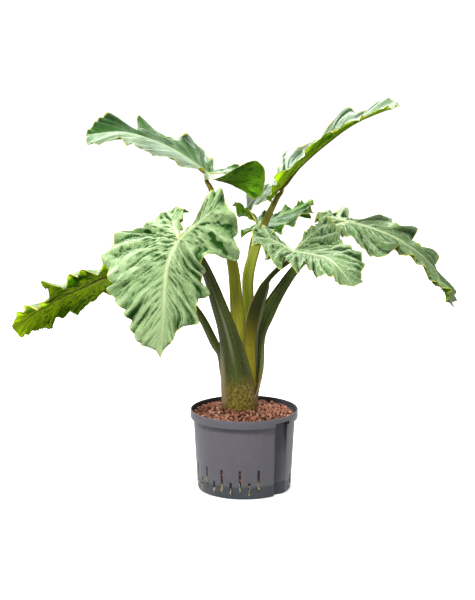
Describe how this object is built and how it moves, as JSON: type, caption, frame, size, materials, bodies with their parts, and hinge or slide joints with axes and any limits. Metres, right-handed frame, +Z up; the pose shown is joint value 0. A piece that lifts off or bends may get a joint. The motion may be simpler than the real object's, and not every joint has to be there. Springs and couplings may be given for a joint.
{
  "type": "potted alocasia plant",
  "caption": "House plant with large arrow-shaped ruffled leaves on upright stalks, rooted in clay granules in a slotted round inner pot.",
  "frame": {"origin": "middle of the pot's flat underside", "axes": "+Z up out of the pot, -Y towards the viewer of the picture, +X to the viewer's right, along which the leaves spread furthest"},
  "size_m": [1.0354, 0.5653, 0.8964],
  "materials": {
    "pot": "matt grey, darker where it is wet at the foot",
    "clay": "dry, rough, reddish brown fired clay",
    "root": "pale, slightly waxy",
    "stem": "olive green, streaked, satin",
    "stalk": "dark olive green, satin",
    "leaf": "waxy light green upper side, deeper green underside"
  },
  "bodies": {
    "root": {"pot": "pot", "clay_granules": "clay", "roots": "root", "stem_base": "stem", "petiole_a": "stalk", "petiole_b": "stalk", "petiole_c": "stalk", "petiole_d": "stalk", "petiole_e": "stalk", "petiole_f": "stalk", "petiole_g": "stalk", "blade_a": "leaf", "blade_b": "leaf", "blade_c": "leaf", "blade_d": "leaf", "blade_e": "leaf", "blade_f": "leaf", "blade_g": "leaf"}
  },
  "joints": []
}
